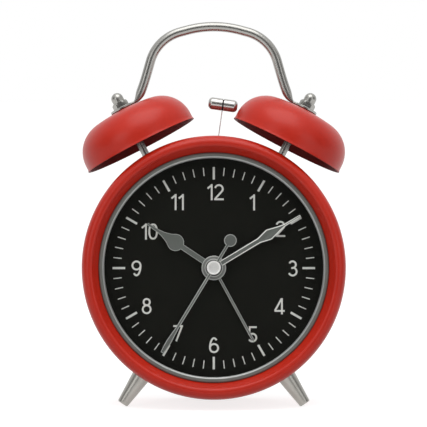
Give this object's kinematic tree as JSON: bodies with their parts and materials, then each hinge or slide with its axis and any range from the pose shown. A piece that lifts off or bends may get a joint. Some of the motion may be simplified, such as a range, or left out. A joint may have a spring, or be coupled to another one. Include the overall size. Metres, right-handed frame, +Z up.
{
  "type": "alarm clock",
  "caption": "Twin-bell alarm clock with a round drum case, two gongs on posts, a hammer between them, a wire handle and two front feet.",
  "frame": {"origin": "middle of the clock's footprint, on the surface it stands on", "axes": "+Z up, the dial faces -Y and leans back a little, +X to the right as the dial is read"},
  "size_m": [0.1188, 0.065, 0.1718],
  "materials": {
    "red_paint": "satin",
    "nickel": "satin",
    "chrome_bright": "polished",
    "steel": "satin",
    "hand_metal": "satin",
    "dial_black": "matt",
    "clear": "clear",
    "black_plastic": "matt",
    "movement_plastic": "matt",
    "wheel_plastic": "satin",
    "brass": "satin",
    "copper": "satin",
    "magnet": "satin",
    "board": "satin",
    "cell_wrap": "gloss"
  },
  "bodies": {
    "case": {"case_drum": "red_paint", "bezel_ring": "red_paint", "trim_ring": "nickel", "lens": "clear", "dial_frame": "black_plastic", "dial": "dial_black", "dial_nut": "brass", "back_cover": "black_plastic", "back_screws": "steel", "battery_upper": "cell_wrap", "battery_lower": "cell_wrap", "battery_contacts": "steel", "movement_front": "movement_plastic", "movement_rear": "movement_plastic", "train_bridge": "movement_plastic", "stator": "steel", "coil": "copper", "circuit_board": "board", "drive_bracket": "steel", "bracket_screws": "steel", "motor": "steel", "handle": "nickel", "left_bell": "red_paint", "left_bell_post": "nickel", "left_post_nut": "nickel", "left_cap_nut": "nickel", "left_foot": "nickel", "left_foot_screw": "nickel", "right_bell": "red_paint", "right_bell_post": "nickel", "right_post_nut": "nickel", "right_cap_nut": "nickel", "right_foot": "nickel", "right_foot_screw": "nickel"},
    "minute": {"minute_hand": "hand_metal", "minute_wheel": "brass"},
    "hour": {"hour_hand": "hand_metal", "hour_wheel": "wheel_plastic"},
    "second": {"second_hand": "hand_metal", "hand_cap": "chrome_bright", "second_wheel": "brass"},
    "third": {"third_wheel": "wheel_plastic"},
    "motion": {"motion_wheel": "wheel_plastic"},
    "step": {"step_wheel": "wheel_plastic"},
    "rotor": {"rotor": "magnet"},
    "time_set": {"time_set_arbor": "wheel_plastic", "time_set_knob": "black_plastic"},
    "alarm": {"alarm_hand": "hand_metal", "alarm_wheel": "wheel_plastic"},
    "alarm_set": {"alarm_set_arbor": "wheel_plastic", "alarm_set_knob": "black_plastic"},
    "crank": {"crank_wheel": "wheel_plastic"},
    "motor_shaft": {"motor_pinion": "wheel_plastic"},
    "hammer": {"hammer_lever": "steel", "hammer_wire": "steel", "hammer_head": "chrome_bright"},
    "switch": {"alarm_switch": "black_plastic"},
    "door": {"battery_door": "black_plastic"}
  },
  "joints": [
    {"name": "minute_hand_spin", "type": "hinge", "parent": "case", "child": "minute", "pos_m": [0, -0.00596, 0.06124], "axis": [0, 0.9927, -0.1205], "continuous": true},
    {"name": "hour_hand_spin", "type": "hinge", "parent": "case", "child": "hour", "pos_m": [0, -0.00596, 0.06124], "axis": [0, 0.9927, -0.1205], "continuous": true},
    {"name": "second_hand_spin", "type": "hinge", "parent": "case", "child": "second", "pos_m": [0, -0.00596, 0.06124], "axis": [0, 0.9927, -0.1205], "continuous": true},
    {"name": "third_wheel_spin", "type": "hinge", "parent": "case", "child": "third", "pos_m": [-0.00349, -0.00711, 0.05172], "axis": [0, 0.9927, -0.1205], "continuous": true},
    {"name": "motion_wheel_spin", "type": "hinge", "parent": "case", "child": "motion", "pos_m": [0.00693, -0.00548, 0.06521], "axis": [0, 0.9927, -0.1205], "continuous": true},
    {"name": "step_wheel_spin", "type": "hinge", "parent": "case", "child": "step", "pos_m": [0, -0.0049, 0.06992], "axis": [0, 0.9927, -0.1205], "continuous": true},
    {"name": "rotor_spin", "type": "hinge", "parent": "case", "child": "rotor", "pos_m": [0.0036, -0.00415, 0.07611], "axis": [0, 0.9927, -0.1205], "continuous": true},
    {"name": "time_set_spin", "type": "hinge", "parent": "case", "child": "time_set", "pos_m": [0.01386, -0.005, 0.06918], "axis": [0, 0.9927, -0.1205], "continuous": true},
    {"name": "alarm_hand_spin", "type": "hinge", "parent": "case", "child": "alarm", "pos_m": [0, -0.00596, 0.06124], "axis": [0, 0.9927, -0.1205], "continuous": true},
    {"name": "alarm_set_spin", "type": "hinge", "parent": "case", "child": "alarm_set", "pos_m": [-0.01039, -0.00524, 0.06719], "axis": [0, 0.9927, -0.1205], "continuous": true},
    {"name": "crank_spin", "type": "hinge", "parent": "case", "child": "crank", "pos_m": [0, 0.00358, 0.09836], "axis": [0, 0.9927, -0.1205], "continuous": true},
    {"name": "motor_spin", "type": "hinge", "parent": "case", "child": "motor_shaft", "pos_m": [0.0064, 0.00358, 0.09836], "axis": [0, 0.9927, -0.1205], "continuous": true},
    {"name": "hammer_swing", "type": "hinge", "parent": "case", "child": "hammer", "pos_m": [0, 0.0044, 0.10511], "axis": [0, 0.9927, -0.1205], "range_deg": [-17.4, 1.4]},
    {"name": "alarm_switch_slide", "type": "slide", "parent": "case", "child": "switch", "axis": [1, 0, 0], "range_m": [0, 0.005]},
    {"name": "battery_door_hinge", "type": "hinge", "parent": "case", "child": "door", "pos_m": [0, 0.0163, 0.01142], "axis": [-1, 0, 0], "range_deg": [0, 85]}
  ],
  "couplings": [
    {"joint": "hour_hand_spin", "follows": "minute_hand_spin", "ratio": 0.083333},
    {"joint": "motion_wheel_spin", "follows": "minute_hand_spin", "ratio": -0.33333},
    {"joint": "time_set_spin", "follows": "minute_hand_spin", "ratio": 1},
    {"joint": "third_wheel_spin", "follows": "minute_hand_spin", "ratio": -8},
    {"joint": "second_hand_spin", "follows": "minute_hand_spin", "ratio": 60},
    {"joint": "step_wheel_spin", "follows": "minute_hand_spin", "ratio": -360},
    {"joint": "rotor_spin", "follows": "minute_hand_spin", "ratio": 1800},
    {"joint": "alarm_set_spin", "follows": "alarm_hand_spin", "ratio": -1.1429},
    {"joint": "motor_spin", "follows": "crank_spin", "ratio": -3}
  ]
}
